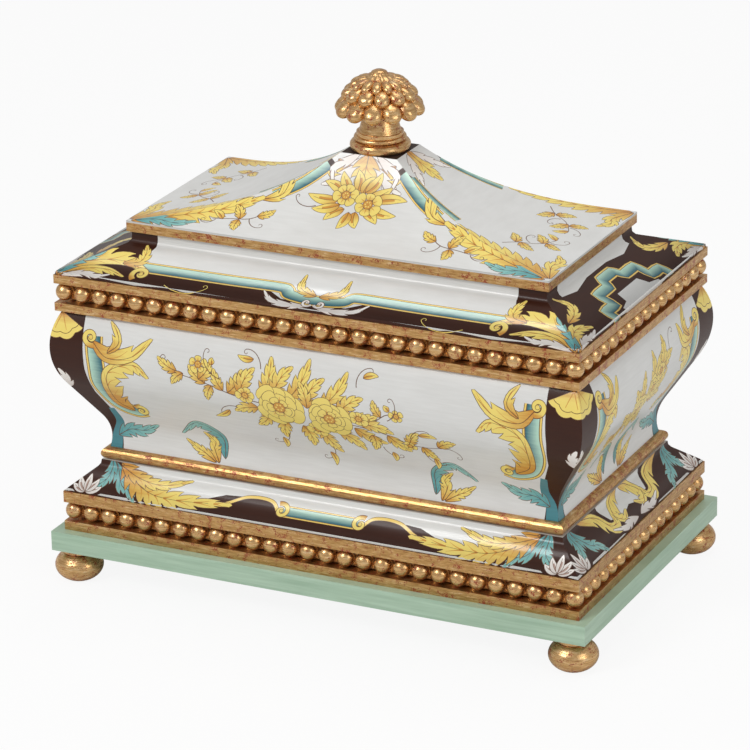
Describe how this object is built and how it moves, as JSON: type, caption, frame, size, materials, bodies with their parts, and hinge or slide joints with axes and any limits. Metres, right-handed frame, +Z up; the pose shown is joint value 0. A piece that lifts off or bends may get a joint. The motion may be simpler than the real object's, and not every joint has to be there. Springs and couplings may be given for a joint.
{
  "type": "keepsake casket with hinged lid",
  "caption": "Swelling wooden keepsake casket with painted lacquer panels, gilt fillets and bead rows, hinged swept lid with a carved finial, and bun feet.",
  "frame": {"origin": "on the ground under the middle of the box", "axes": "+X along the front to the right, +Y from the front to the back, +Z up"},
  "size_m": [0.3456, 0.209, 0.3058],
  "materials": {
    "decorated_lacquer": "gloss",
    "gilding": "satin",
    "celadon_paint": "satin",
    "bare_wood": "matte",
    "velvet": "matte",
    "brass": "satin",
    "steel": "satin"
  },
  "bodies": {
    "case": {"base_board": "celadon_paint", "foot_front_left": "gilding", "foot_front_right": "gilding", "foot_back_left": "gilding", "foot_back_right": "gilding", "foot_screws": "steel", "plinth_lower_fillet": "gilding", "plinth_bead_core": "bare_wood", "plinth_beads_front": "gilding", "plinth_beads_right": "gilding", "plinth_beads_back": "gilding", "plinth_beads_left": "gilding", "plinth_upper_fillet": "gilding", "foot_cove_front": "decorated_lacquer", "foot_cove_right": "decorated_lacquer", "foot_cove_back": "decorated_lacquer", "foot_cove_left": "decorated_lacquer", "waist_moulding": "gilding", "body_wall_front": "decorated_lacquer", "body_wall_right": "decorated_lacquer", "body_wall_back": "decorated_lacquer", "body_wall_left": "decorated_lacquer", "floor_board": "bare_wood", "floor_pad": "velvet", "case_lining": "velvet", "hinge_case_leaves": "brass", "hinge_pins": "steel", "hinge_case_screws": "brass"},
    "lid": {"lid_lower_fillet": "gilding", "lid_bead_core": "bare_wood", "lid_beads_front": "gilding", "lid_beads_right": "gilding", "lid_beads_back": "gilding", "lid_beads_left": "gilding", "lid_upper_fillet": "gilding", "lid_cove_front": "decorated_lacquer", "lid_cove_right": "decorated_lacquer", "lid_cove_back": "decorated_lacquer", "lid_cove_left": "decorated_lacquer", "ceiling_board": "bare_wood", "ceiling_pad": "velvet", "roof_rim": "gilding", "roof_front": "decorated_lacquer", "roof_right": "decorated_lacquer", "roof_back": "decorated_lacquer", "roof_left": "decorated_lacquer", "finial_block": "bare_wood", "finial_stem": "gilding", "finial_crown": "gilding", "finial_lower_petals": "gilding", "finial_upper_petals": "gilding", "finial_cap": "gilding", "finial_rod": "steel", "finial_washer": "steel", "finial_nut": "steel", "hinge_lid_leaves": "brass", "hinge_lid_screws": "brass"}
  },
  "joints": [
    {"name": "lid_hinge", "type": "hinge", "parent": "case", "child": "lid", "pos_m": [0, 0.09805, 0.1686], "axis": [-1, 0, 0], "range_deg": [0, 95]}
  ]
}
